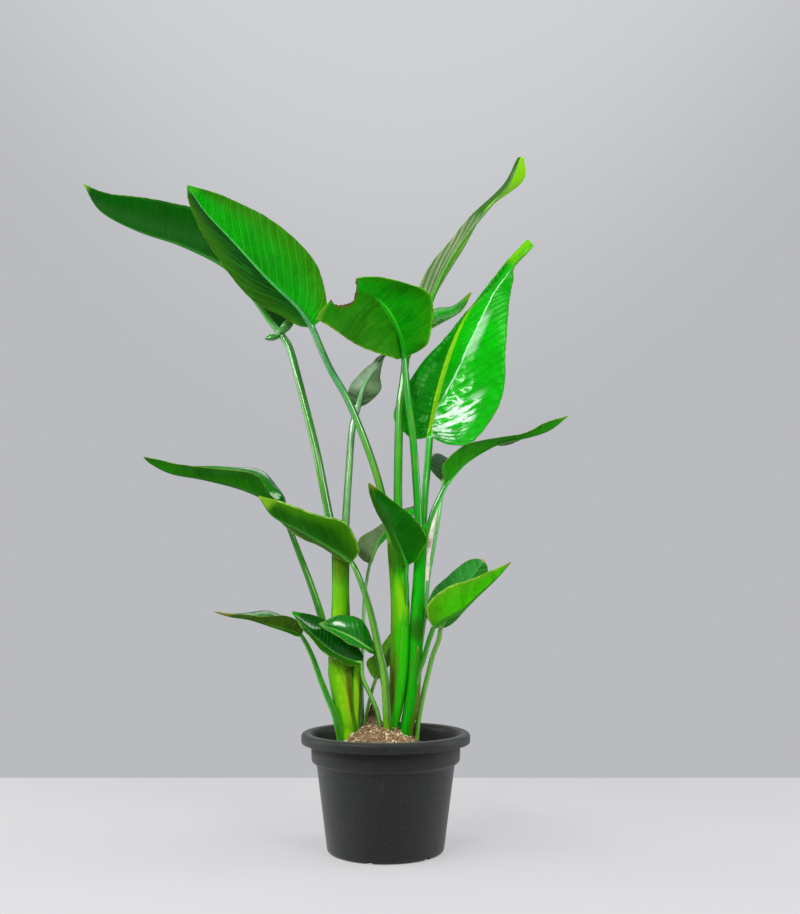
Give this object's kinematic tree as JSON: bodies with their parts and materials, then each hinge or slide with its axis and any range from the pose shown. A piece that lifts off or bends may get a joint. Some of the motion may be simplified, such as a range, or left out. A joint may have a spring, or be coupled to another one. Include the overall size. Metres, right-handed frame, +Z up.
{
  "type": "potted bird of paradise plant",
  "caption": "Potted bird of paradise plant: long-stalked paddle leaves with waved edges rise from green pseudostems in a plain round nursery pot filled with soil; stands as greenery.",
  "frame": {"origin": "centre of the pot's flat underside, in the plane the pot rests on", "axes": "+Z up; +X to the right and -Y towards the viewer in the picture"},
  "size_m": [0.7714, 0.3813, 1.0142],
  "materials": {
    "pot": "satin",
    "soil": "rough",
    "pseudostem": "satin",
    "dry_sheath": "papery",
    "leaf_deep": "glossy",
    "leaf_mid": "glossy",
    "leaf_bright": "glossy"
  },
  "bodies": {
    "root": {"pot": "pot", "soil": "soil", "stem_left": "pseudostem", "stem_middle": "pseudostem", "stem_right": "pseudostem", "dry_sheath": "dry_sheath", "leaf_top_left_back": "leaf_deep", "leaf_top_left_broad": "leaf_mid", "leaf_centre_torn": "leaf_mid", "leaf_top_right_slim": "leaf_bright", "leaf_centre_twisted": "leaf_mid", "leaf_right_glossy": "leaf_bright", "leaf_right_slim": "leaf_mid", "leaf_right_rear": "leaf_deep", "leaf_mid_left_long": "leaf_mid", "leaf_mid_left_folded": "leaf_mid", "leaf_centre_dark": "leaf_deep", "leaf_centre_rear": "leaf_deep", "leaf_low_right_folded": "leaf_bright", "leaf_low_right_rear": "leaf_deep", "leaf_low_left_long": "leaf_deep", "leaf_low_left_dark": "leaf_deep", "leaf_low_left_bright": "leaf_mid", "leaf_low_rear_small": "leaf_deep"}
  },
  "joints": []
}
